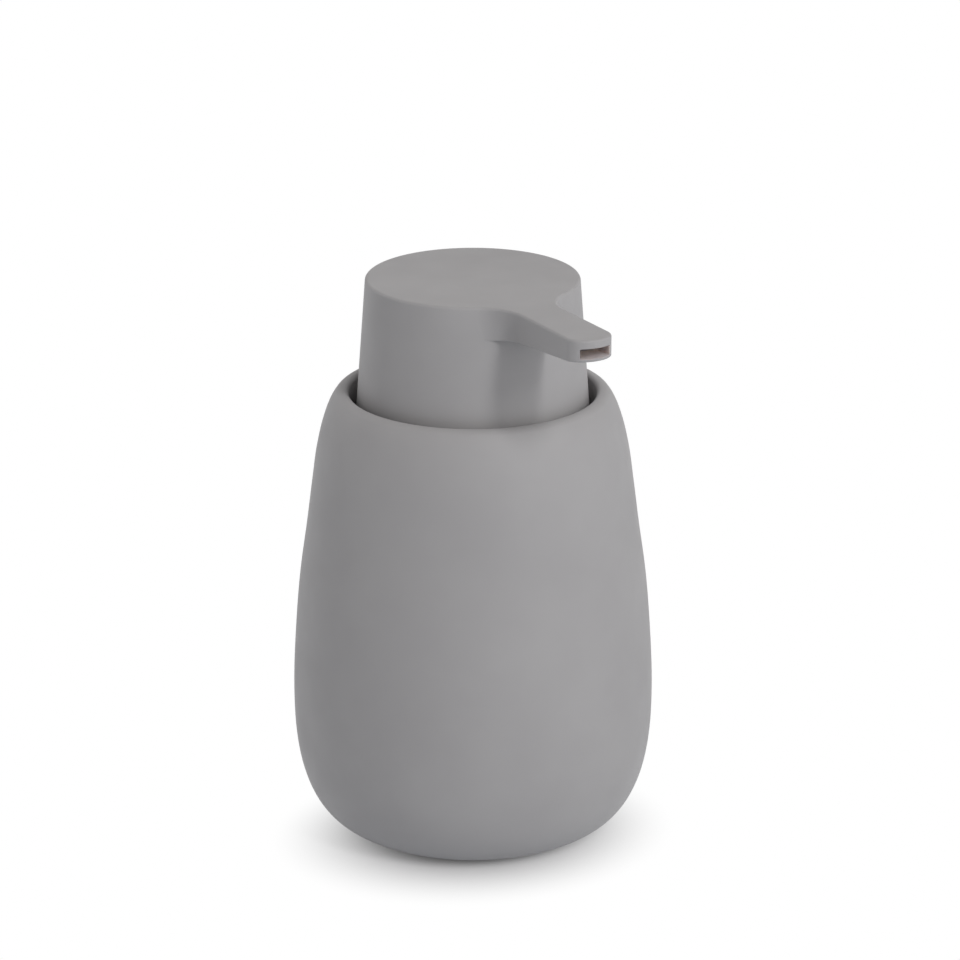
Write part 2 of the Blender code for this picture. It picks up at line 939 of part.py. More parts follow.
def build_actuator_core():
    """Hub, outlet chamber and ribbed disc. A post in the chamber limits the outlet ball's lift."""
    chamber_top = hub_top_z - hub_wall
    disc_top = core_flange_z + core_flange
    disc_radius = head_radius_at(disc_top) - head_wall - seat_gap
    profile = [
        (0.0, stop_post_z),
        (stop_post_radius, stop_post_z),
        (stop_post_radius, chamber_top),
        (hub_bore, chamber_top),
        (hub_bore, hub_z),
        (hub_radius, hub_z),
        (hub_radius, core_flange_z),
        (disc_radius, core_flange_z),
        (disc_radius, disc_top),
        (hub_radius, disc_top),
        (hub_radius, hub_top_z),
        (0.0, hub_top_z),
    ]
    core = turned("actuator_core", profile, pump_plastic(), medium_steps)
    rib_reach = head_radius_at(hub_top_z) - head_wall - 3 * seat_gap
    for i in range(core_rib_count):
        turn = math.tau * (i + 1 / 2) / core_rib_count
        if math.isclose(turn, spout_turn):
            continue  # the duct passes here
        rib = block(
            f"core_rib_{i + 1}",
            (hub_bore + hub_wall / 2, -core_rib_width / 2, disc_top - core_flange / 2),
            (rib_reach, core_rib_width / 2, hub_top_z),
            pump_plastic(),
        )
        rib.rotation_euler.z = turn
        combine(core, rib, "UNION")
    port = channel_block(
        "core_port",
        channel_width / 2,
        channel_floor,
        channel_floor + channel_height,
        stop_post_radius + seat_gap,
        hub_radius + overrun,
        pump_plastic(),
    )
    combine(core, port, "DIFFERENCE")


def main():
    for old in list(bpy.data.objects):
        bpy.data.objects.remove(old)
    build_vessel()
    build_foot_pad()
    build_mouth_plug()
    build_plug_seal()
    build_housing_gasket()
    build_collar()
    build_pump_housing()
    build_stem_guide()
    build_stem_wiper()
    build_inlet_cage()
    build_dip_tube()
    build_ball("inlet_ball", inlet_ball_radius, inlet_ball_z)
    build_ball("outlet_ball", outlet_ball_radius, outlet_ball_z)
    build_piston()
    build_spring_seat()
    build_spring()
    build_stem()
    build_head_shell()
    build_outlet_duct()
    build_actuator_core()


main()
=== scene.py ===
# %% [markdown]
# # A soap dispenser with a soft-touch coat
#
# The object is a rounded stoneware pot for liquid soap. A wide press head with a flat spout sits in its
# mouth, and a lotion pump hangs under the head, inside the pot.
#
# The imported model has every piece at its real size, but with few faces and plain colours. This lesson
# puts a finer piece in the place of each, and gives it its finish. Nearly every piece was turned or
# moulded round, so most cells draw half an outline and spin it about the pump's axis.
#
# Lengths are in metres, +Z is up, and the spout points along -Y.

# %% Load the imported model
import json
import math

import bmesh
import bpy
from mathutils import Matrix, Vector


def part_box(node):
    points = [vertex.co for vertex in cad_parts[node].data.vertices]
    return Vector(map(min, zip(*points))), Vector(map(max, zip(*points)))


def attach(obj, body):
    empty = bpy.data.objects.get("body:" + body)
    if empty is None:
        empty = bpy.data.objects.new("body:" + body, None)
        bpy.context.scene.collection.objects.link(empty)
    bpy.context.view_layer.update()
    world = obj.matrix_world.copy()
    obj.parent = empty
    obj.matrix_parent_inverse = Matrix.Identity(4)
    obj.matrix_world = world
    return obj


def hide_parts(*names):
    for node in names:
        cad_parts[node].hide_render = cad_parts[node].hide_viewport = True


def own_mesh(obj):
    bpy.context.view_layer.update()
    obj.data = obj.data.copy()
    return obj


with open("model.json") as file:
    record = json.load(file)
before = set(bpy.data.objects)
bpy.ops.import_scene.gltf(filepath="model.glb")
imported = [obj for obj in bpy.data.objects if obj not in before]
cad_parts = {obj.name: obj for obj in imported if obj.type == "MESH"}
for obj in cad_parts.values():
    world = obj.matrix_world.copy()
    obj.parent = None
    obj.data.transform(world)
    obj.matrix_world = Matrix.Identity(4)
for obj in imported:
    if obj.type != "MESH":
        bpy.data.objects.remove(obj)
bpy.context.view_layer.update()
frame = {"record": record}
MM = 0.001

# %% [markdown]
# ## Places come from the frame
#
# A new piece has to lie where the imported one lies. Every round node is centred on the pump's axis, so
# three numbers place it: how far it reaches from the axis, and the heights of its foot and its top.
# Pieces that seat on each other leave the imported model's small gap between them.

# %% Read a round node's reach, foot and top
seat_gap = 0.3 * MM


def reach(node):
    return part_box(node)[1].x


def foot(node):
    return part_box(node)[0].z


def top(node):
    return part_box(node)[1].z


def extent(node):
    return reach(node), foot(node), top(node)


print(f"vessel: reach {reach('vessel') / MM:.1f} mm, top {top('vessel') / MM:.1f} mm")

# %% [markdown]
# ## The camera comes first
#
# The photograph was taken from a little above, with the spout turned to the right, and from so far
# away that the pot hardly tapers. A long lens does that. The camera aims beside the object's middle,
# which puts the object left of centre and low, as in the photograph.

# %% Place the camera
picture_width = 960
focal_pixels = 3576.0
camera_distance = 0.790
camera_turn = math.radians(-29.3)
camera_rise = math.radians(20.6)
aim_right_pixels = 7.1
aim_up_pixels = 61.2
near_clip = 10 * MM
subject = Vector((0, 0, 64.2 * MM))


def add_object(name, data):
    made = bpy.data.objects.new(name, data)
    bpy.context.scene.collection.objects.link(made)
    return made


def direction(turn, rise):
    """Unit vector from the object towards a place. Turn 0 is in front of the spout, +X is to the right."""
    flat = math.cos(rise)
    return Vector((math.sin(turn) * flat, -math.cos(turn) * flat, math.sin(rise)))


def look_at(thing, place, target):
    thing.location = place
    thing.rotation_euler = (target - place).to_track_quat("-Z", "Y").to_euler()


lens = bpy.data.cameras.new("camera")
camera = add_object("camera", lens)
bpy.context.scene.camera = camera
lens.lens = focal_pixels / picture_width * lens.sensor_width
lens.clip_start = near_clip
sight = direction(camera_turn, camera_rise)
facing = (-sight).to_track_quat("-Z", "Y").to_matrix()
per_pixel = camera_distance / focal_pixels
aim = subject + facing.col[0] * (aim_right_pixels * per_pixel) + facing.col[1] * (aim_up_pixels * per_pixel)
look_at(camera, subject + sight * camera_distance, aim)
bpy.context.scene.view_settings.view_transform = "Standard"
print(f"camera lens {lens.lens:.0f} mm, {camera_distance} m away")

# %% [markdown]
# ## A white table and soft light
#
# The photograph has a pure white ground with a small soft shadow close to the pot. Lamps strong enough
# to burn out the whole table would wash out the grey coat too. So the lamps stay low, and the camera
# sees two floors that fade into each other: a grey one near the foot, and beyond it plain white. The
# grey near the foot is painted shadow, an oval set a little forward and turned, and the real shadow
# falls on it as well. Mirror-like reflections see the same. All other rays meet an ordinary pale
# floor, so the light it throws back stays true.

# %% Add a shader node, set its values and join it to others


def fill(node, values):
    for name, value in values.items():
        node.inputs[name].default_value = value
    return node


def add_node(tree, kind, values=None):
    return fill(tree.nodes.new("ShaderNode" + kind), values or {})


def join(source, node, socket):
    source.id_data.links.new(source, node.inputs[socket])


# %% Tell the rays that look from those that light


def looking(tree):
    """One for rays that come from the camera, a reflection or clear glass, and nought for the others."""
    rays = add_node(tree, "LightPath")
    seen = rays.outputs["Is Camera Ray"]
    for kind in ("Is Glossy Ray", "Is Transmission Ray"):
        either = add_node(tree, "Math")
        either.operation = "MAXIMUM"
        join(seen, either, 0)
        join(rays.outputs[kind], either, 1)
        seen = either.outputs["Value"]
    return seen


def two_faced(tree, lit, shown):
    """Rays that look meet the shader called shown, and all the others meet the one called lit."""
    choice = add_node(tree, "MixShader")
    join(looking(tree), choice, "Fac")
    join(lit, choice, 1)
    join(shown, choice, 2)
    return choice.outputs["Shader"]


# %% Lay the floor
floor_half_width = 3.0
floor_drop = 0.05 * MM
floor_colour = (0.80, 0.835, 0.875, 1.0)
# The pool's darker grey and its oval, set forward and turned, are painted shadow round the foot.
painted_shadow_colour = (0.506, 0.498, 0.504, 1.0)
pool_half_width = 46.5 * MM
pool_half_depth = 38.3 * MM
pool_forward = 12.7 * MM
pool_turn = math.radians(16.0)
pool_fade_share = 0.726
bm = bmesh.new()
bmesh.ops.create_grid(bm, x_segments=1, y_segments=1, size=floor_half_width)
floor_mesh = bpy.data.meshes.new("floor")
bm.to_mesh(floor_mesh)
bm.free()
floor = add_object("floor", floor_mesh)
floor.location.z = -floor_drop
print(f"floor {2 * floor_half_width} m square")

# %% Fade the painted shadow pool into white
white = bpy.data.materials.new("white_table")
white.use_nodes = True
tree = white.node_tree
tree.nodes.clear()
place = add_node(tree, "TexCoord")
turned_pool = {
    "Location": direction(camera_turn, 0.0) * pool_forward,
    "Rotation": (0.0, 0.0, camera_turn + pool_turn),
    "Scale": (pool_half_width, pool_half_depth, 1.0),
}
centred = add_node(tree, "Mapping", turned_pool)
centred.vector_type = "TEXTURE"
pool = add_node(tree, "TexGradient")
pool.gradient_type = "SPHERICAL"
fade = add_node(tree, "MapRange", {"From Max": pool_fade_share})
fade.interpolation_type = "SMOOTHSTEP"
beyond = add_node(tree, "Emission")
# The grey floor inside the pool is painted shadow, and the lamps' real shadow falls on it too.
near = add_node(tree, "BsdfDiffuse", {"Color": painted_shadow_colour})
shown = add_node(tree, "MixShader")
plain = add_node(tree, "BsdfDiffuse", {"Color": floor_colour})
output = add_node(tree, "OutputMaterial")
join(place.outputs["Object"], centred, "Vector")
join(centred.outputs["Vector"], pool, "Vector")
join(pool.outputs["Fac"], fade, "Value")
join(fade.outputs["Result"], shown, "Fac")
join(beyond.outputs["Emission"], shown, 1)
join(near.outputs["BSDF"], shown, 2)
join(two_faced(tree, plain.outputs["BSDF"], shown.outputs["Shader"]), output, "Surface")
floor_mesh.materials.append(white)
print("pool half widths", pool_half_width, pool_half_depth)

# %% Light the air around the object
air_light = (1.0, 0.985, 0.985, 1.0)
air_strength = 0.423
world = bpy.data.worlds.new("white_air")
bpy.context.scene.world = world
world.use_nodes = True
tree = world.node_tree
air = fill(tree.nodes["Background"], {"Color": air_light, "Strength": air_strength})
ground = add_node(tree, "Background", {"Color": (1.0, 1.0, 1.0, 1.0)})
sky = two_faced(tree, air.outputs["Background"], ground.outputs["Background"])
join(sky, tree.nodes["World Output"], "Surface")
print("world light", air_strength)

# %% Hang the soft lamps
lamp_distance = 1.1
lamps = (
    # name, turn from the camera, rise, width, height, watts
    ("strip_key", 38, 40, 0.12, 0.50, 4.7),
    ("right_softbox", 60, 20, 0.60, 0.60, 1.63),
    ("far_right_softbox", 90, 15, 0.70, 0.70, 0.47),
    ("front_left_softbox", -35, 30, 0.60, 0.60, 0.46),
    ("left_back_softbox", -120, 20, 0.70, 0.70, 1.6),
)
for name, turn, rise, width, height, watts in lamps:
    lamp_data = bpy.data.lights.new(name, "AREA")
    lamp_data.shape = "RECTANGLE"
    lamp_data.size = width
    lamp_data.size_y = height
    lamp_data.energy = watts
    lamp = add_object(name, lamp_data)
    spot = subject + direction(camera_turn + math.radians(turn), math.radians(rise)) * lamp_distance
    look_at(lamp, spot, subject)
print(f"{len(lamps)} lamps")

# %% [markdown]
# ## Finishes
#
# Every finish starts from the same shader and the same kind of noise, read in the object's own
# coordinates, so that it stays on the piece when the pump moves. Small helpers do the wiring: one
# starts a material, one adds a noise, and three turn noises into a slight tone, gloss or relief.

# %% Start a material


def finish(name, roughness, metallic=0.0):
    """A Principled material and its shader."""
    made = bpy.data.materials.new(name)
    made.use_nodes = True
    shader = made.node_tree.nodes["Principled BSDF"]
    return made, fill(shader, {"Roughness": roughness, "Metallic": metallic})


def noise(shader, size, detail=2.0, stretch=(1.0, 1.0, 1.0)):
    """A noise whose features are about as wide as size, or longer where stretch is below one."""
    tree = shader.id_data
    place = add_node(tree, "TexCoord").outputs["Object"]
    mapping = add_node(tree, "Mapping", {"Scale": stretch})
    texture = add_node(tree, "TexNoise", {"Scale": 1 / size, "Detail": detail})
    join(place, mapping, "Vector")
    join(mapping.outputs["Vector"], texture, "Vector")
    return texture.outputs["Fac"]


# %% Turn a noise into tone, gloss or relief
tone_spread = (0.35, 0.65)
gloss_spread = (0.3, 0.7)


def tone(shader, factor, dark, light):
    """The base colour drifts between two near tones."""
    ramp = add_node(shader.id_data, "ValToRGB")
    for stop, position, colour in zip(ramp.color_ramp.elements, tone_spread, (dark, light)):
        stop.position = position
        stop.color = (*colour, 1.0)
    join(factor, ramp, "Fac")
    join(ramp.outputs["Color"], shader, "Base Color")


def gloss(shader, factor, low, high):
    """The roughness drifts between two values."""
    ends = {"From Min": gloss_spread[0], "From Max": gloss_spread[1], "To Min": low, "To Max": high}
    drift = add_node(shader.id_data, "MapRange", ends)
    join(factor, drift, "Value")
    join(drift.outputs["Result"], shader, "Roughness")


def relief(shader, *layers):
    """Stacks bumps. Each layer is a factor, its depth and its strength."""
    below = None
    for factor, depth, strength in layers:
        bump = add_node(shader.id_data, "Bump", {"Distance": depth, "Strength": strength})
        join(factor, bump, "Height")
        if below:
            join(below, bump, "Normal")
        below = bump.outputs["Normal"]
    join(below, shader, "Normal")


# %% [markdown]
# ## The soft-touch coat
#
# The pot and the head wear the same coat: a grey rubbery lacquer that feels like fine suede. It has no
# gloss, only a faint sheen at the edges. Under it the pot is fired clay, whose skin is never quite flat,
# and the head is moulded plastic, which is. So the pot gets deeper unevenness and a coarser grain.

# %% Mix the soft-touch coats
coat_dark = (0.325, 0.316, 0.319)
coat_light = (0.345, 0.336, 0.338)


def soft_touch(name, grain, waviness):
    made, shader = finish(name, roughness=0.62)
    fill(shader, {"Specular IOR Level": 0.35, "Sheen Weight": 0.10, "Sheen Roughness": 0.45})
    tone(shader, noise(shader, 26 * MM, detail=3.0), coat_dark, coat_light)
    gloss(shader, noise(shader, 9 * MM), 0.58, 0.68)
    skin = noise(shader, 5 * MM)
    suede = noise(shader, grain, detail=4.0)
    relief(shader, (skin, waviness, 0.25), (suede, grain / 12, 0.35))
    return made


stoneware_coat = soft_touch("soft_touch_stoneware", 0.42 * MM, 0.10 * MM)
plastic_coat = soft_touch("soft_touch_plastic", 0.30 * MM, 0.03 * MM)
print("coats:", stoneware_coat.name, plastic_coat.name)

# %% [markdown]
# ## What the coat doesn't reach
#
# The spray stops at the mouth of the spout and under the head, where the bare plastic shows: paler,
# a little brown and a little shinier. Its thin walls let some light through, so the slot is never black.
# Inside, the pot has a clear glaze, because lacquer alone wouldn't hold soap. The pump itself is natural
# polypropylene, milky and slightly see-through at thin edges. Subsurface scattering gives both glows.

# %% Mix the bare plastic, the glaze and the pump's plastic


def glow_through(shader, weight, depth):
    """Light goes in at one place and comes out at another, up to about depth away."""
    radii = (1.0, 0.9, 0.8)
    fill(shader, {"Subsurface Weight": weight, "Subsurface Radius": radii, "Subsurface Scale": depth})


def bare_plastic():
    made, shader = finish("bare_plastic", roughness=0.46)
    flow = noise(shader, 3 * MM, detail=3.0, stretch=(1.0, 0.3, 1.0))
    tone(shader, flow, (0.49, 0.45, 0.455), (0.54, 0.50, 0.505))
    glow_through(shader, 0.7, 3.0 * MM)
    relief(shader, (noise(shader, 0.25 * MM), 0.02 * MM, 0.3))
    return made


def inner_glaze():
    made, shader = finish("inner_glaze", roughness=0.22)
    pools = noise(shader, 12 * MM, detail=3.0)
    tone(shader, pools, (0.50, 0.49, 0.475), (0.56, 0.55, 0.535))
    fill(shader, {"Coat Weight": 0.5, "Coat Roughness": 0.08})
    relief(shader, (pools, 0.15 * MM, 0.3), (noise(shader, 1.5 * MM), 0.02 * MM, 0.4))
    return made


def pump_plastic():
    made, shader = finish("natural_polypropylene", roughness=0.38)
    flow = noise(shader, 8 * MM, detail=3.0, stretch=(1.0, 1.0, 0.25))
    tone(shader, flow, (0.74, 0.74, 0.70), (0.81, 0.81, 0.775))
    gloss(shader, noise(shader, 2 * MM), 0.33, 0.42)
    glow_through(shader, 0.3, 1.2 * MM)
    relief(shader, (noise(shader, 0.35 * MM), 0.01 * MM, 0.3))
    return made


raw_plastic = bare_plastic()
glaze = inner_glaze()
polypropylene = pump_plastic()
print("finishes:", raw_plastic.name, glaze.name, polypropylene.name)

# %% [markdown]
# ## Rubber, foam and steel
#
# The seals are silicone, dull and even. The foot pad is closed-cell foam, whose cells are a Voronoi
# pattern. The spring is drawn wire, with fine lines along it, and the valve balls are polished.

# %% Mix the silicone, the foam and the steels


def silicone_rubber():
    made, shader = finish("grey_silicone", roughness=0.6)
    tone(shader, noise(shader, 4 * MM), (0.40, 0.40, 0.405), (0.44, 0.44, 0.445))
    relief(shader, (noise(shader, 0.3 * MM), 0.015 * MM, 0.4))
    return made


def cell_foam():
    made, shader = finish("cell_foam", roughness=0.92)
    tree = made.node_tree
    tone(shader, noise(shader, 1.5 * MM), (0.040, 0.040, 0.044), (0.062, 0.062, 0.066))
    cells = add_node(tree, "TexVoronoi", {"Scale": 1 / (0.6 * MM)})
    join(add_node(tree, "TexCoord").outputs["Object"], cells, "Vector")
    relief(shader, (cells.outputs["Distance"], 0.08 * MM, 0.6))
    return made


def bright_steel(name, low, high, line_width):
    made, shader = finish(name, roughness=high, metallic=1.0)
    lines = noise(shader, line_width, stretch=(1.0, 1.0, 6.0))
    tone(shader, lines, (0.54, 0.54, 0.55), (0.62, 0.62, 0.63))
    gloss(shader, lines, low, high)
    relief(shader, (lines, 0.01 * MM, 0.2))
    return made


seal_rubber = silicone_rubber()
pad_foam = cell_foam()
wire_steel = bright_steel("drawn_wire", 0.24, 0.34, 0.3 * MM)
ball_steel = bright_steel("polished_ball", 0.08, 0.13, 0.8 * MM)
print("finishes:", seal_rubber.name, pad_foam.name, wire_steel.name, ball_steel.name)

# %% [markdown]
# ## Tools for turned pieces
#
# A turned piece is half an outline, drawn as radius and height and spun about the axis. Moulded and
# thrown pieces have no knife edges, so each corner of the outline is first cut back and bridged with
# a short curve. That real rounding is what catches the light along an edge.

# %% Round the corners of an outline
corner_steps = 4
least_room_share = 0.42


def rounded(corners, rounding, closed=True):
    """Bridges each corner with a short curve, where its two sides leave room. An open end stays sharp."""
    points = []
    count = len(corners)
    for i, corner in enumerate(corners):
        here = Vector(corner)
        if not closed and i in (0, count - 1):
            points.append(here)
            continue
        before = Vector(corners[i - 1]) - here
        after = Vector(corners[(i + 1) % count]) - here
        cut = min(rounding, before.length * least_room_share, after.length * least_room_share)
        start = here + before.normalized() * cut
        end = here + after.normalized() * cut
        for j in range(corner_steps + 1):
            t = j / corner_steps
            points.append(start * (1 - t) ** 2 + here * (2 * t * (1 - t)) + end * t * t)
    return points


def arc(centre, radius, start, end, count):
    """Points on a round stretch, both ends included."""
    angles = [start + (end - start) * i / count for i in range(count + 1)]
    return [Vector((centre[0] + radius * math.cos(a), centre[1] + radius * math.sin(a))) for a in angles]


def quarter_turn(count):
    """Even angles from nought to a quarter turn, both included."""
    return [math.pi / 2 * i / count for i in range(count + 1)]


def box_section(inner, outer, low, high):
    """The four corners of a plain ring, or of a plain disc where inner is nought."""
    return [(inner, low), (outer, low), (outer, high), (inner, high)]


# %% Spin an outline about the pump's axis
fine_steps = 192
weld = 0.001 * MM
sharp_angle = math.radians(38)


def smooth(mesh):
    mesh.shade_smooth()
    mesh.set_sharp_from_angle(angle=sharp_angle)
    return mesh


def shaded(name, bm):
    """Welds the seams, turns the faces outwards and shades the round stretches smooth."""
    bmesh.ops.remove_doubles(bm, verts=bm.verts, dist=weld)
    bmesh.ops.recalc_face_normals(bm, faces=bm.faces)
    mesh = bpy.data.meshes.new(name)
    bm.to_mesh(mesh)
    bm.free()
    return smooth(mesh)


def spun(name, outline, steps=fine_steps):
    """An outline that starts on the axis ends there too, and any other is closed."""
    bm = bmesh.new()
    points = [bm.verts.new((r, 0.0, z)) for r, z in outline]
    chain = [bm.edges.new(pair) for pair in zip(points, points[1:])]
    if outline[0][0] > 0:
        chain.append(bm.edges.new((points[-1], points[0])))
    bmesh.ops.spin(bm, geom=points + chain, axis=(0, 0, 1), cent=(0, 0, 0), angle=math.tau, steps=steps)
    return shaded(name, bm)


# %% Put a finished piece in the scene, in its node's place


def link(name, mesh, *looks):
    for look in looks:
        mesh.materials.append(look)
    return add_object(name, mesh)


def turned(name, corners, rounding, look, steps=fine_steps):
    """A piece spun from the corners of its outline, which are rounded first."""
    return link(name, spun(name, rounded(corners, rounding, corners[0][0] > 0), steps), look)


def install(made, node):
    """The piece takes a node's place, rides on its body and keeps flat faces flat in the shading."""
    even = made.modifiers.new("even_shading", "WEIGHTED_NORMAL")
    even.keep_sharp = True
    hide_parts(node)
    body = next(b for b, members in frame["record"]["behaviour"]["bodies"].items() if node in members)
    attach(made, body)
    print(f"{made.name}: {len(made.data.vertices)} points, on {body}")
    return made


# %% Cut and join solids, then keep the result as a plain mesh

def settle(made, steps):
    """Cuts or joins each tool, then replaces the mesh by the result and deletes the tools."""
    for tool, operation in steps:
        change = made.modifiers.new(tool.name, "BOOLEAN")
        change.operation = operation
        change.object = tool
        change.solver = "EXACT"
        change.material_mode = "TRANSFER"
    result = made.evaluated_get(bpy.context.evaluated_depsgraph_get())
    mesh = bpy.data.meshes.new_from_object(result)
    made.modifiers.clear()
    made.data = smooth(mesh)
    for tool, operation in steps:
        bpy.data.objects.remove(tool)
    return made


# %% [markdown]
# ## The stoneware pot
#
# The pot is slip-cast: a flat foot, a quick round base, a full belly low down, and a shoulder that
# narrows in one long curve to a soft lip. The base is nearly a quarter of an oval, so it follows
# a formula. The flank above the belly is no circle or oval, so it runs as a smooth curve through
# stations read from the photograph's outline, as shares of the pot's own size.

# %% A smooth curve through stations


def smooth_line(stations, steps):
    """Points along a curve through the stations. The first and the last only guide its ends."""
    knots = [Vector(station) for station in stations]
    line = []
    for a, b, c, d in zip(knots, knots[1:], knots[2:], knots[3:]):
        before = (b - a).length
        span = (c - b).length
        after = (d - c).length
        leave = ((b - a) / before * span + (c - b) / span * before) / (before + span)
        arrive = ((c - b) / span * after + (d - c) / after * span) / (span + after)
        for i in range(steps):
            t = i / steps
            near = b * (1 + 2 * t) * (1 - t) ** 2 + c * t * t * (3 - 2 * t)
            bend = (leave * (1 - t) - arrive * t) * (span * t * (1 - t))
            line.append(near + bend)
    line.append(knots[-2])
    return line


# %% Outline of the pot's outside
belly_radius, pot_foot, pot_top = extent("vessel")
pot_height = pot_top - pot_foot
belly_share = 0.30
belly_height = pot_foot + belly_share * pot_height
flat_radius = 26.0 * MM
base_bulge = 2.5
base_ease = 0.42
base_steps = 28
lip_rounding = 1.0 * MM
lip_steps = 12
throat_radius = 26.984 * MM
crest_radius = throat_radius + lip_rounding
flank_steps = 8
flank_shares = (
    (1.000, 0.300),
    (0.941, 0.455),
    (0.851, 0.575),
    (0.709, 0.695),
    (0.603, 0.792),
    (0.509, 0.870),
    (0.391, 0.930),
    (0.298, 0.962),
    (0.252, 0.974),
    (0.189, 0.9864),
    (0.143, 0.9935),
    (0.082, 0.9982),
    (0.000, 1.0000),
)


def base_curve(low, flat, widest):
    """The round base, from its flat to the belly. Its steps are closer where it turns faster."""
    points = []
    for i in range(base_steps):
        rise = (i / base_steps) ** 2
        swell = (1 - (1 - rise) ** base_bulge) ** base_ease
        points.append(Vector((flat + (widest - flat) * swell, low + rise * (belly_height - low))))
    return points


def flank_curve():
    spread = belly_radius - crest_radius
    knots = [(crest_radius + out * spread, pot_foot + up * pot_height) for out, up in flank_shares]
    below = (knots[1][0], 2 * knots[0][1] - knots[1][1])
    beyond = (2 * crest_radius - knots[-2][0], knots[-2][1])
    return smooth_line([below] + knots + [beyond], flank_steps)


flank = flank_curve()
lip_centre = (crest_radius, pot_top - lip_rounding)
lip = arc(lip_centre, lip_rounding, math.pi / 2, math.pi, lip_steps)
pot_outside = base_curve(pot_foot, flat_radius, belly_radius) + flank + lip[1:]
print(f"pot outside: {len(pot_outside)} points")

# %% Outline of the pot's inside, and its foot
pot_wall = 4.2 * MM
base_thickness = 6.0 * MM
ledge_width = 2.3 * MM
ledge_length = 3.0 * MM
undercut = 7.0 * MM
clay_rounding = 0.7 * MM
pot_floor = pot_foot + base_thickness
ledge_height = foot("mouth_plug") - seat_gap
ledge_radius = throat_radius - ledge_width
neck_end = ledge_height - ledge_length
recess_radius = reach("foot_pad") + seat_gap
recess_height = top("foot_pad") + seat_gap
ledge = [
    (throat_radius, ledge_height),
    (ledge_radius, ledge_height),
    (ledge_radius, neck_end),
]
inner_wall = [(r - pot_wall, z) for r, z in reversed(flank) if z < neck_end - undercut]
round_floor = base_curve(pot_floor, flat_radius - pot_wall, belly_radius - pot_wall)
ledge_line = rounded([lip[-1]] + ledge + [inner_wall[0]], clay_rounding, closed=False)
recess = [
    (0.0, recess_height),
    (recess_radius, recess_height),
    (recess_radius, pot_foot),
    (flat_radius, pot_foot),
]
recess_line = rounded(recess, clay_rounding / 2, closed=False)
pot_inside = ledge_line[1:-1] + inner_wall + round_floor[::-1] + [(0.0, pot_floor)]
print(f"pot inside: {len(pot_inside)} points, floor {pot_floor / MM:.1f} mm up")

# %% Cast the pot and glaze its inside, up to the ledge
upward = 0.5
pot_mesh = spun("pot", recess_line[:-1] + pot_outside + pot_inside)
pot = link("stoneware_pot", pot_mesh, stoneware_coat, glaze)
for face in pot_mesh.polygons:
    inside = face.center.xy.length < belly_radius - pot_wall / 2
    level = pot_floor - pot_wall / 2 < face.center.z < ledge_height
    inward = face.normal.xy.dot(face.center.xy) <= 0 or face.normal.z > upward
    face.material_index = int(inside and level and inward)
install(pot, "vessel")

# %% [markdown]
# ## The foot pad
#
# A disc of foam is let into the pot's foot, so that the pot doesn't slide or scratch. It stands a hair
# proud of the clay and carries the whole weight, so its edge is pressed round.

# %% Press the foot pad
pad_edge = 0.35 * MM
pad_corners = box_section(0.0, reach("foot_pad"), 0.0, top("foot_pad"))
install(turned("foam_pad", pad_corners, pad_edge, pad_foam), "foot_pad")

# %% [markdown]
# ## The press head
#
# The head is one moulding: a shallow cup with a flat top, and a spout that grows out of its rim. Seen
# from above, its outline is a circle, two hollow rounds and a straight spout with an oval nose. Rings of
# that outline at falling heights make its skin. The sides lean out a little towards the bottom, as
# a moulding must to leave its mould, and the hollow rounds grow tighter there.
#
# Every edge of the skin has a small real round. The spout's underside rises slightly towards the nose,
# and the round of its edge fades out where the spout's side flows into the cup.

# %% Sizes of the press head
head_top = top("head_shell")
skirt_foot = foot("head_shell")
top_radius = 23.2 * MM
draft = math.tan(math.radians(4.3))
head_edge = 0.6 * MM
under_edge = 0.45 * MM
skirt_edge = 0.5 * MM
spout_end = -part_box("head_shell")[0].y
spout_half = 5.1 * MM
spout_round = 10.5 * MM
spout_round_below = 7.6 * MM
nose_length = 4.3 * MM
spout_depth = 7.1 * MM
under_start = head_top - spout_depth
under_rise = 0.08
nose_steps = 20
side_steps = 8
bend_steps = 20
back_steps = 150


def head_radius(height):
    return top_radius + draft * (head_top - height)


def hollow_round(height):
    """The hollow rounds beside the spout are widest at the head's top."""
    share = (head_top - height) / (head_top - under_start)
    return spout_round + (spout_round_below - spout_round) * share


def bend_centre(radius, bend_radius):
    across = spout_half + bend_radius
    return math.sqrt((radius + bend_radius) ** 2 - across**2), across


def root_along():
    radius = head_radius(under_start)
    return bend_centre(radius, spout_round_below)[0] * radius / (radius + spout_round_below)


def under_height(along):
    return under_start + under_rise * max(0.0, along - root_along())


print(f"head {2 * head_radius(skirt_foot) / MM:.1f} mm across its skirt, spout to {spout_end / MM:.1f} mm")

# %% Draw the head's outline at a height


def head_plan(height):
    """Points (along the spout, across it) round the head, and each point's outward direction."""
    radius = head_radius(height)
    bend_radius = hollow_round(height)
    centre = bend_centre(radius, bend_radius)
    turn = math.atan2(centre[1], centre[0])
    nose_start = spout_end - nose_length
    nose = []
    for angle in quarter_turn(nose_steps):
        nose.append(Vector((nose_start + nose_length * math.cos(angle), spout_half * math.sin(angle))))
    side = []
    for i in range(1, side_steps):
        side.append(Vector((nose_start + (centre[0] - nose_start) * i / side_steps, spout_half)))
    bend = arc(centre, bend_radius, -math.pi / 2, turn - math.pi, bend_steps)
    back = arc((0, 0), radius, turn, math.pi, back_steps // 2)
    half = nose + side + bend + back[1:]
    plan = half + [Vector((p.x, -p.y)) for p in reversed(half[1:-1])]
    outward = []
    for i in range(len(plan)):
        run = plan[(i + 1) % len(plan)] - plan[i - 1]
        outward.append(Vector((run.y, -run.x)).normalized())
    return plan, outward


def ring_of(bm, plan, outward, shape):
    """One closed ring of points. Shape gives a point's inset and height from its place along the spout."""
    made = []
    for point, out in zip(plan, outward):
        inset, height = shape(point.x)
        moved = point - out * inset
        made.append(bm.verts.new((moved.y, -moved.x, height)))
    return made


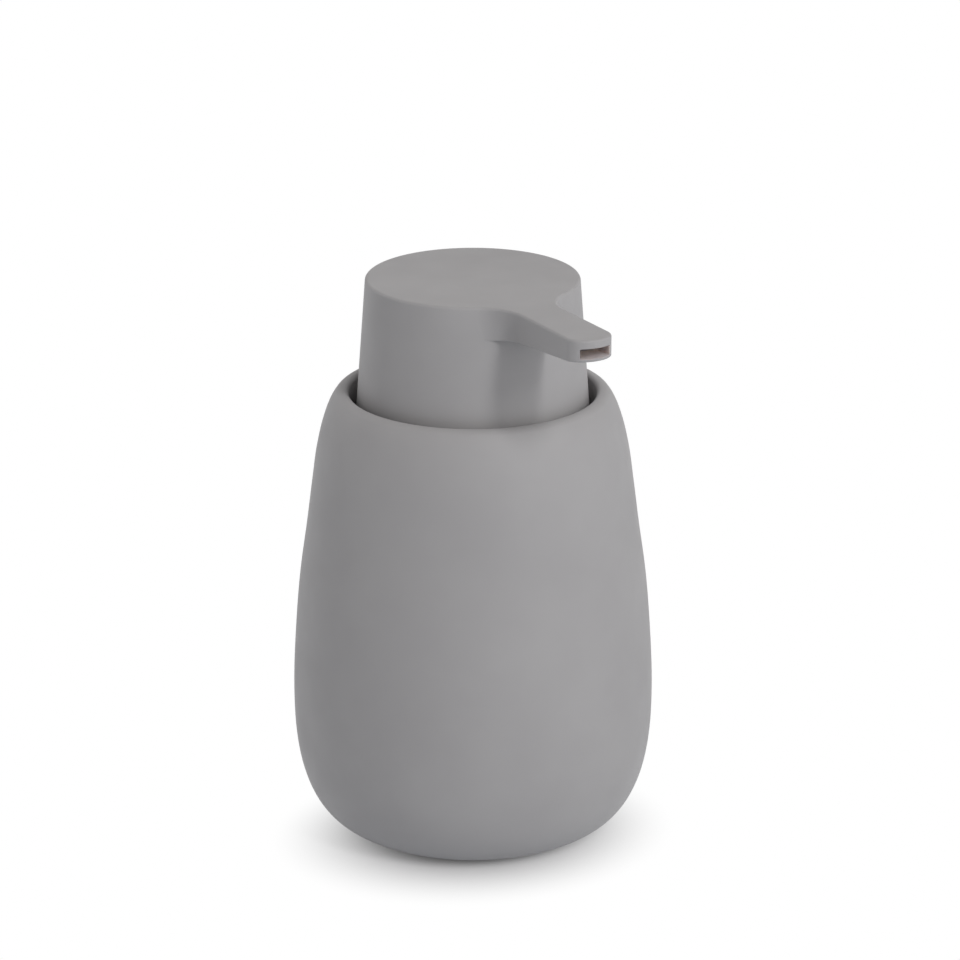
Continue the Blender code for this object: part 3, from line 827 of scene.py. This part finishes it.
def bridge(bm, upper, lower):
    for i in range(len(upper)):
        j = (i + 1) % len(upper)
        bm.faces.new((upper[i], upper[j], lower[j], lower[i]))


print(f"outline of {len(head_plan(head_top)[0])} points")

# %% Build the head's skin, from the top down to the spout's underside
edge_rings = 8


def under_round(along):
    """The lower edge's rounding, which fades out towards the cup."""
    share = min(1.0, max(0.0, (along - root_along()) / spout_round_below))
    return under_edge * share * share * (3 - 2 * share)


def under_shape(along, angle):
    """Inset and height of a point at an angle round the lower edge."""
    rounding = under_round(along)
    return rounding * (1 - math.cos(angle)), under_height(along) + rounding * (1 - math.sin(angle))


def head_rings(bm):
    """Top face, rounded rim and sides. Returns the ring at the underside's edge and its start."""
    ring = None
    for angle in quarter_turn(edge_rings):
        height = head_top - head_edge * (1 - math.cos(angle))
        plan, outward = head_plan(height)
        inset = head_edge * (1 - math.sin(angle))
        level = ring_of(bm, plan, outward, lambda along: (inset, height))
        if ring:
            bridge(bm, ring, level)
        else:
            bm.faces.new(level)
        ring = level
    plan, outward = head_plan(under_start)
    for angle in quarter_turn(edge_rings // 2):
        level = ring_of(bm, plan, outward, lambda along: under_shape(along, angle))
        bridge(bm, ring, level)
        ring = level
    return ring, len(plan)


# %% Close the underside and carry the skirt down


def head_skin():
    bm = bmesh.new()
    edge, count = head_rings(bm)
    spout_count = nose_steps + side_steps + bend_steps + 1
    root = edge[spout_count - 1].co
    turn = math.atan2(root.x, -root.y)
    radius = head_radius(under_start)
    front = []
    for i in range(1, bend_steps):
        angle = -turn + 2 * turn * i / bend_steps
        along = radius * math.cos(angle)
        front.append(bm.verts.new((radius * math.sin(angle), -along, under_height(along))))
    spout_edge = edge[count - spout_count + 1 :] + edge[:spout_count]
    bm.faces.new(spout_edge + front[::-1])
    ring = edge[spout_count - 1 : count - spout_count + 2] + front
    for angle in quarter_turn(edge_rings):
        height = skirt_foot + skirt_edge * (1 - math.sin(angle))
        side = head_radius(height) - skirt_edge * (1 - math.cos(angle))
        level = []
        for point in ring:
            spoke = Vector((point.co.x, point.co.y)).normalized() * side
            level.append(bm.verts.new((spoke.x, spoke.y, height)))
        bridge(bm, ring, level)
        ring = level
    bm.faces.new(ring)
    return shaded("head", bm)


head = link("press_head", head_skin(), plastic_coat)
print(f"head skin: {len(head.data.polygons)} faces")

# %% [markdown]
# ## The hollow head and its slot
#
# The cup is hollow, with a small bead that the pump's disc snaps over. A flat channel runs from the
# hollow out through the nose, where it shows as a slot. Solids of bare plastic cut both and leave their
# finish on the cut faces, so the coat ends at the slot's edge by itself.

# %% A bar with rounded edges that lies along the rising channel
channel_half = 3.6 * MM
channel_floor = 0.65 * MM
channel_height = 2.25 * MM
channel_corner = 0.3 * MM
overrun = 5.0 * MM


def channel_section(shrink, corner):
    """The channel's cross-section, or a smaller one that fits inside it."""
    half = channel_half - shrink
    low = channel_floor + shrink
    high = channel_floor + channel_height - shrink
    return rounded(box_section(-half, half, low, high), corner)


def lay_in_channel(bm):
    """Tilts a bar drawn level at height zero, so that it follows the spout's underside."""
    root = root_along()
    tilt = Matrix.Rotation(-math.atan(under_rise), 4, "X")
    move = Matrix.Translation((0, -root, under_start)) @ tilt @ Matrix.Translation((0, root, 0))
    bmesh.ops.transform(bm, matrix=move, verts=bm.verts)


def in_channel(name, stations, look):
    """A bar between two sections along the spout, or a tube whose sections come back to the first."""
    bm = bmesh.new()
    rings = [[bm.verts.new((x, -along, z)) for x, z in section] for section, along in stations]
    for near, far in zip(rings, rings[1:]):
        bridge(bm, near, far)
    if len(rings) == 2:
        bm.faces.new(rings[0])
        bm.faces.new(rings[1])
    lay_in_channel(bm)
    return link(name, shaded(name, bm), look)


# %% Hollow the head
head_wall = 1.8 * MM
ceiling = head_top - 2.2 * MM
bead_depth = 0.5 * MM
bead_height = 1.2 * MM
hollow_rounding = 0.3 * MM
core_disc_thickness = 1.8 * MM
core_disc = top("stem") - core_disc_thickness


def hollow_outline():
    bead_top = core_disc - seat_gap
    bead_foot = bead_top - bead_height

    def inside(height):
        return head_radius(height) - head_wall

    low = skirt_foot - overrun
    mouth = skirt_foot + skirt_edge
    corners = [
        (inside(mouth), mouth),
        (inside(bead_foot), bead_foot),
        (inside(bead_foot) - bead_depth, bead_foot + bead_depth),
        (inside(bead_top) - bead_depth, bead_top - bead_depth / 2),
        (inside(bead_top), bead_top),
        (inside(ceiling), ceiling),
        (0.0, ceiling),
    ]
    flare = inside(skirt_foot) + skirt_edge
    return [(0.0, low), (flare, low), (flare, skirt_foot)] + rounded(corners, hollow_rounding, closed=False)


hollow = link("hollow", spun("hollow", hollow_outline()), raw_plastic)
slot_start = head_radius(ceiling) - 2 * head_wall - overrun
channel = channel_section(0.0, channel_corner)
slot = in_channel("slot", [(channel, slot_start), (channel, spout_end + overrun)], raw_plastic)
settle(head, [(hollow, "DIFFERENCE"), (slot, "DIFFERENCE")])

# %% Keep the spout's flat underside out of the smooth shading
faded_share = 0.25
level_normal = -0.99


def part_from_underside(mesh):
    """Marks the underside's edge sharp where the lower edge's round has nearly faded out."""
    faded = -root_along() - spout_round_below * faded_share
    flat = {key for face in mesh.polygons if face.normal.z < level_normal for key in face.edge_keys}
    for edge in mesh.edges:
        if edge.key in flat and all(mesh.vertices[v].co.y > faded for v in edge.vertices):
            edge.use_edge_sharp = True


part_from_underside(head.data)
install(head, "head_shell")

# %% [markdown]
# ## The outlet duct
#
# A thin flat tube lines the channel from the pump to a little way inside the slot. Its sections run
# along the outside and come back along the inside.

# %% Line the channel with the duct
duct_gap = 0.2 * MM
duct_wall = 0.4 * MM
duct_recess = 7.0 * MM
duct_start = -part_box("outlet_duct")[1].y
duct_end = spout_end - duct_recess
duct_outside = channel_section(duct_gap, channel_corner)
duct_inside = channel_section(duct_gap + duct_wall, channel_corner / 2)
duct_stations = [
    (duct_outside, duct_start),
    (duct_outside, duct_end),
    (duct_inside, duct_end),
    (duct_inside, duct_start),
    (duct_outside, duct_start),
]
install(in_channel("slot_liner", duct_stations, raw_plastic), "outlet_duct")

# %% [markdown]
# ## The plug in the mouth
#
# Under the head a moulded plug sits on the pot's ledge and closes the wide mouth. It is a shallow dish:
# a rim with a groove for the seal, a floor, and a neck in the middle that holds the pump. Six ribs
# stiffen its floor. They are boxes that a Boolean joins to the dish, because a spin can't make them.

# %% Mould the plug's dish
plug_reach, plug_foot, neck_top = extent("mouth_plug")
plug_depth = 7.0 * MM
plug_rim = plug_foot + plug_depth
floor_thickness = 2.4 * MM
plug_floor = plug_foot + floor_thickness
plug_flange = 1.5 * MM
plug_wall = 1.6 * MM
groove_radius = throat_radius - 2.9 * MM
rim_radius = throat_radius - 1.4 * MM
neck_bore = 8.2 * MM
neck_wall = 2.3 * MM
neck_radius = neck_bore + neck_wall
neck_bead = 0.9 * MM
moulded = 0.25 * MM

plug_corners = [
    (neck_bore, plug_foot),
    (plug_reach, plug_foot),
    (plug_reach, plug_foot + plug_flange),
    (groove_radius, plug_foot + plug_flange),
    (groove_radius, plug_rim - plug_flange),
    (rim_radius, plug_rim - plug_flange),
    (rim_radius, plug_rim),
    (groove_radius - plug_wall, plug_rim),
    (groove_radius - plug_wall, plug_floor),
    (neck_radius, plug_floor),
    (neck_radius, neck_top - 2 * neck_bead),
    (neck_radius + neck_bead, neck_top - neck_bead),
    (neck_radius, neck_top),
    (neck_bore, neck_top),
]
plug = turned("mouth_carrier", plug_corners, moulded, polypropylene)

# %% Rib the plug and set it in the mouth
rib_count = 6
rib_half = 0.6 * MM


def standing_rib(name, near, far, low, high, turn):
    """A box with eased edges that runs outwards from the axis at an angle."""
    bm = bmesh.new()
    size = (far - near, 2 * rib_half, high - low, 1.0)
    middle = Vector(((near + far) / 2, 0.0, (low + high) / 2))
    bmesh.ops.create_cube(bm, size=1.0, matrix=Matrix.Translation(middle) @ Matrix.Diagonal(size))
    bmesh.ops.bevel(bm, geom=bm.edges[:], offset=rib_half / 4, segments=2, affect="EDGES")
    bmesh.ops.rotate(bm, verts=bm.verts, cent=(0, 0, 0), matrix=Matrix.Rotation(turn, 3, "Z"))
    return link(name, shaded(name, bm), polypropylene)


def ribs(name, near, far, low, high, clear=0.0):
    """Ribs at even angles, but none at the angle that has to stay clear."""
    made = []
    for i in range(rib_count):
        turn = math.tau * (i + 0.5) / rib_count
        if not math.isclose(turn, clear):
            made.append((standing_rib(f"{name}_{i + 1}", near, far, low, high, turn), "UNION"))
    return made


rib_near = reach("collar") + seat_gap
rib_far = groove_radius - plug_wall / 2
plug_ribs = ribs("plug_rib", rib_near, rib_far, plug_floor - plug_wall / 2, plug_rim - plug_flange)
install(settle(plug, plug_ribs), "mouth_plug")

# %% [markdown]
# ## Seals
#
# Three rubber rings keep the soap in. The plug's seal has fins that bend against the clay, the gasket
# lies flat under the pump's flange, and the wiper's lip cleans the stem as it rises.

# %% Fin the plug's seal
seal_reach, seal_foot, seal_top = extent("plug_seal")
fin_count = 3
fin_pitch = (seal_top - seal_foot) / fin_count
fin_height = 0.4 * MM
seal_inner = groove_radius + seat_gap
rubber_round = 0.14 * MM

seal_corners = [(seal_inner, seal_top), (seal_inner, seal_foot)]
for i in range(fin_count):
    root = seal_foot + i * fin_pitch
    tip = root + fin_pitch / 2
    seal_corners += [(rim_radius, root), (seal_reach, tip), (seal_reach, tip + fin_height)]
seal_corners.append((rim_radius, seal_top))
install(turned("finned_seal", seal_corners, rubber_round, seal_rubber), "plug_seal")

# %% Cut the gasket and mould the wiper


def washer(name, node, bore, rounding, look):
    """A flat ring that fills a node's height and reach."""
    return turned(name, box_section(bore, *extent(node)), rounding, look)


gasket = washer("flange_gasket", "housing_gasket", neck_bore, rubber_round, seal_rubber)
install(gasket, "housing_gasket")
wiper_bore = 3.9 * MM
wiper_reach, wiper_foot, wiper_top = extent("stem_wiper")
wiper_corners = [
    (wiper_bore, wiper_foot),
    (wiper_reach, wiper_foot),
    (wiper_reach, (wiper_foot + wiper_top) / 2),
    ((wiper_bore + wiper_reach) / 2, wiper_top),
    (wiper_bore, wiper_top),
]
install(turned("lip_wiper", wiper_corners, rubber_round, seal_rubber), "stem_wiper")

# %% [markdown]
# ## The collar and its grip
#
# The collar snaps over the plug's neck and clamps the pump. Its outside is fluted for grip. The flutes
# are a wave round the side: each point's distance from the axis shrinks and grows with its angle.

# %% Turn and flute the collar
collar_reach, collar_foot, collar_top = extent("collar")
collar_wall = 1.9 * MM
flute_count = 48
points_per_flute = 6
flute_depth = 0.5 * MM
flute_floor = collar_reach - flute_depth
collar_inner = flute_floor - collar_wall
collar_hole = 6.9 * MM
lid_thickness = 1.6 * MM
collar_lid = collar_top - lid_thickness
hook_radius = neck_radius + seat_gap
hook_drop = 3.3 * neck_bead
hook_top = neck_top - hook_drop
collar_corners = [
    (collar_hole, collar_lid),
    (collar_inner, collar_lid),
    (collar_inner, hook_top),
    (hook_radius, hook_top - neck_bead / 2),
    (hook_radius, hook_top - neck_bead),
    (collar_inner, collar_foot),
    (collar_reach, collar_foot),
    (collar_reach, collar_top - flute_depth),
    (flute_floor, collar_top),
    (collar_hole, collar_top),
]
flute_points = flute_count * points_per_flute
collar = turned("fluted_collar", collar_corners, moulded, polypropylene, steps=flute_points)
for point in collar.data.vertices:
    side = point.co.xy.length
    if side > flute_floor:
        angle = math.atan2(point.co.y, point.co.x)
        wave = (1 - math.cos(flute_count * angle)) / 2
        point.co.xy *= (side - wave * (side - flute_floor)) / side
install(collar, "collar")

# %% [markdown]
# ## The pump's cylinder
#
# The cylinder hangs from the neck by its flange. Below the piston's bore it steps in round the inlet
# ball, narrows to the ball's seat, and ends in a socket for the dip tube. The guide bush closes it from
# above, and a drilled disc near its foot carries the spring and keeps the ball in.

# %% Turn the cylinder
housing_foot = foot("pump_housing")
housing_top = top("pump_housing")
flange_foot = top("housing_gasket") + seat_gap
bore = 6.6 * MM
cylinder_wall = 1.3 * MM
cylinder_radius = bore + cylinder_wall
chamber = 3.3 * MM
step_height = foot("inlet_cage") - seat_gap
tube_radius, tube_foot, tube_top = extent("dip_tube")
socket_top = tube_top + seat_gap
seat_thickness = 1.6 * MM
seat_height = socket_top + seat_thickness
seat_hole = 1.8 * MM
socket_bore = tube_radius + seat_gap
socket_outer = socket_bore + cylinder_wall
waist = step_height - cylinder_wall
housing_corners = [
    (bore, housing_top),
    (bore, step_height),
    (chamber, step_height),
    (chamber, seat_height + chamber - seat_hole),
    (seat_hole, seat_height),
    (seat_hole, socket_top),
    (socket_bore, socket_top),
    (socket_bore, housing_foot),
    (socket_outer, housing_foot),
    (socket_outer, waist - (cylinder_radius - socket_outer)),
    (cylinder_radius, waist),
    (cylinder_radius, flange_foot),
    (neck_radius, flange_foot),
    (neck_radius, housing_top),
]
install(turned("pump_cylinder", housing_corners, moulded, polypropylene), "pump_housing")

# %% Turn the guide bush
guide_foot = foot("stem_guide")
guide_top = top("stem_guide")
guide_bore = 3.9 * MM
guide_body = bore - seat_gap
guide_flange = 1.4 * MM
flange_low = housing_top + seat_gap
flange_high = flange_low + guide_flange
pocket_width = 1.4 * MM
pocket_radius = guide_bore + pocket_width
pocket_low = foot("stem_wiper") - seat_gap
guide_corners = [
    (guide_bore, guide_foot),
    (guide_body, guide_foot),
    (guide_body, flange_low),
    (cylinder_radius, flange_low),
    (cylinder_radius, flange_high),
    (guide_body, flange_high),
    (guide_body, guide_top),
    (pocket_radius, guide_top),
    (pocket_radius, pocket_low),
    (guide_bore, pocket_low),
]
install(turned("guide_bush", guide_corners, moulded / 2, polypropylene), "stem_guide")

# %% Drill the inlet cage
cage_holes = 4
cage_hole = 0.9 * MM
cage_ring = 3.15 * MM
drill_sides = 48
cage_reach, cage_low, cage_high = extent("inlet_cage")
cage_corners = box_section(0.0, cage_reach, cage_low, cage_high)
cage = turned("drilled_cage", cage_corners, moulded, polypropylene)
drills = []
for i in range(cage_holes):
    bm = bmesh.new()
    angle = math.tau * i / cage_holes
    middle = Vector((cage_ring * math.cos(angle), cage_ring * math.sin(angle), (cage_low + cage_high) / 2))
    bmesh.ops.create_cone(
        bm,
        cap_ends=True,
        segments=drill_sides,
        radius1=cage_hole,
        radius2=cage_hole,
        depth=overrun,
        matrix=Matrix.Translation(middle),
    )
    drills.append((link(f"drill_{i + 1}", shaded(f"drill_{i + 1}", bm), polypropylene), "DIFFERENCE"))
install(settle(cage, drills), "inlet_cage")

# %% [markdown]
# ## The dip tube
#
# A plain tube reaches nearly to the pot's floor. Its end is cut on the slant, so that it can't seal
# itself against the floor. The slant is made by lifting the lower ring's points on one side.

# %% Cut the dip tube on the slant
tube_wall = 0.8 * MM
slant = 0.5
coarse_steps = 96
tube_corners = box_section(tube_radius - tube_wall, tube_radius, tube_foot, tube_top)
tube = turned("slant_cut_tube", tube_corners, rubber_round, polypropylene, steps=coarse_steps)
for point in tube.data.vertices:
    if point.co.z < (tube_foot + tube_top) / 2:
        point.co.z += slant * (tube_radius + point.co.x)
install(tube, "dip_tube")

# %% [markdown]
# ## Two steel balls
#
# The pump's valves are loose balls. The lower one lets soap in, and the one in the stem's head lets it
# out. Each takes the place and the size of its packed sphere.

# %% Drop the balls on their seats
ball_sides = 64
ball_rows = 32


def ball(node, name):
    low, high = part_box(node)
    radius = (high.z - low.z) / 2
    middle = Matrix.Translation((low + high) / 2)
    bm = bmesh.new()
    bmesh.ops.create_uvsphere(bm, u_segments=ball_sides, v_segments=ball_rows, radius=radius, matrix=middle)
    install(link(name, shaded(name, bm), ball_steel), node)


ball("inlet_ball", "suction_ball")
ball("outlet_ball", "delivery_ball")

# %% [markdown]
# ## The plunger inside the pump
#
# The stem is a hollow rod. A rubber piston sits between two rings at its foot, and the outlet ball lies
# on a seat in its head. Under the stem a washer passes the push to the spring.

# %% Turn the stem
shoulder_radius, stem_foot, stem_top = extent("stem")
stem_bore = 2.0 * MM
stem_radius = 3.6 * MM
groove_depth = 0.4 * MM
stem_groove = stem_radius - groove_depth
ring_height = 1.2 * MM
clip_width = 1.0 * MM
clip_radius = stem_groove + clip_width
stem_head = 4.2 * MM
stop_height = top("piston") + seat_gap + ring_height
ball_room = 3.0 * MM
seat_depth = 6.3 * MM
ball_seat = stem_top - seat_depth
stem_corners = [
    (stem_bore, stem_foot),
    (clip_radius, stem_foot),
    (clip_radius, stem_foot + ring_height),
    (stem_groove, stem_foot + ring_height),
    (stem_groove, stop_height - ring_height),
    (shoulder_radius, stop_height - ring_height),
    (shoulder_radius, stop_height),
    (stem_radius, stop_height),
    (stem_radius, ball_seat - ring_height),
    (stem_head, ball_seat),
    (stem_head, stem_top),
    (ball_room, stem_top),
    (ball_room, ball_seat + ball_room - stem_bore),
    (stem_bore, ball_seat),
]
stem = turned("hollow_stem", stem_corners, moulded / 2, polypropylene, steps=coarse_steps)
install(stem, "stem")

# %% Mould the piston and the spring's washer
piston_lip = 0.9 * MM
lip_height = 1.6 * MM
piston_reach, piston_foot, piston_top = extent("piston")
sleeve = stem_groove + seat_gap
piston_corners = [
    (sleeve, piston_foot),
    (piston_reach - piston_lip / 2, piston_foot),
    (piston_reach, piston_foot + lip_height / 2),
    (piston_reach - piston_lip, piston_foot + lip_height),
    (piston_reach - piston_lip, piston_top - lip_height),
    (piston_reach, piston_top - lip_height / 2),
    (piston_reach - piston_lip / 2, piston_top),
    (sleeve, piston_top),
]
piston = turned("two_lip_piston", piston_corners, rubber_round, seal_rubber, steps=coarse_steps)
install(piston, "piston")
spring_washer = washer("spring_washer", "spring_seat", stem_bore, moulded, polypropylene)
install(spring_washer, "spring_seat")

# %% [markdown]
# ## The return spring
#
# A spring is one circle of wire swept along a helix. The first and last turns are wound closer, so that
# they lie nearly flat on what they push. The circle always stands in the plane of the axis, so the wire
# doesn't twist.

# %% Wind the spring
wire = 0.45 * MM
turns = 9
turn_steps = 60
wire_sides = 12
end_pitch = 1.45 * MM
coil_gap = 0.6 * MM
coil_radius = bore - coil_gap - wire
spring_low = foot("spring") + wire
spring_high = top("spring") - wire
pitch = (spring_high - spring_low - 2 * end_pitch) / (turns - 2)


def helix(turn):
    """The wire's middle line after a number of turns."""
    climb = min(turn, 1) * end_pitch
    climb += max(0, min(turn, turns - 1) - 1) * pitch
    climb += max(0, turn - (turns - 1)) * end_pitch
    angle = math.tau * turn
    return Vector((coil_radius * math.cos(angle), coil_radius * math.sin(angle), spring_low + climb))


def spring_mesh():
    bm = bmesh.new()
    rings = []
    for i in range(turns * turn_steps + 1):
        turn = i / turn_steps
        centre = helix(turn)
        out = Vector((centre.x, centre.y, 0)).normalized()
        rings.append([])
        for j in range(wire_sides):
            angle = math.tau * j / wire_sides
            spoke = out * (wire * math.cos(angle)) + Vector((0, 0, wire * math.sin(angle)))
            rings[-1].append(bm.verts.new(centre + spoke))
    for upper, lower in zip(rings, rings[1:]):
        bridge(bm, upper, lower)
    bm.faces.new(rings[0])
    bm.faces.new(rings[-1])
    return shaded("spring", bm)


spring = install(link("wound_spring", spring_mesh(), wire_steel), "spring")
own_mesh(spring)

# %% [markdown]
# ## The core inside the head
#
# A moulded core joins the stem to the duct. Its hub grips the stem's head, a post in the hub stops the
# ball, and a ribbed disc snaps behind the bead in the head. The duct's channel is cut through the hub.

# %% Turn the core's hub and disc
core_reach, core_foot, hub_top = extent("actuator_core")
hub_bore = stem_head + seat_gap
hub_wall = 1.7 * MM
hub_radius = hub_bore + hub_wall
disc_top = core_disc + core_disc_thickness
post_radius = 1.0 * MM
ball_play = 1.5 * MM
post_foot = top("outlet_ball") + ball_play
core_spin_steps = 144
core_corners = [
    (0.0, post_foot),
    (post_radius, post_foot),
    (post_radius, hub_top - hub_wall),
    (hub_bore, hub_top - hub_wall),
    (hub_bore, core_foot),
    (hub_radius, core_foot),
    (hub_radius, core_disc),
    (core_reach, core_disc),
    (core_reach, disc_top),
    (hub_radius, disc_top),
    (hub_radius, hub_top),
    (0.0, hub_top),
]
core = turned("head_core", core_corners, moulded, polypropylene, steps=core_spin_steps)

# %% Rib the core and cut the channel through its hub
rib_gap = 0.9 * MM
spout_angle = math.tau * 3 / 4
core_near = hub_bore + hub_wall / 2
core_far = head_radius(hub_top) - head_wall - rib_gap
core_steps = ribs("core_rib", core_near, core_far, disc_top - hub_wall / 2, hub_top, clear=spout_angle)
port_ends = [(channel, post_radius + seat_gap), (channel, hub_radius + overrun)]
port = in_channel("port", port_ends, polypropylene)
core_steps.append((port, "DIFFERENCE"))
install(settle(core, core_steps), "actuator_core")
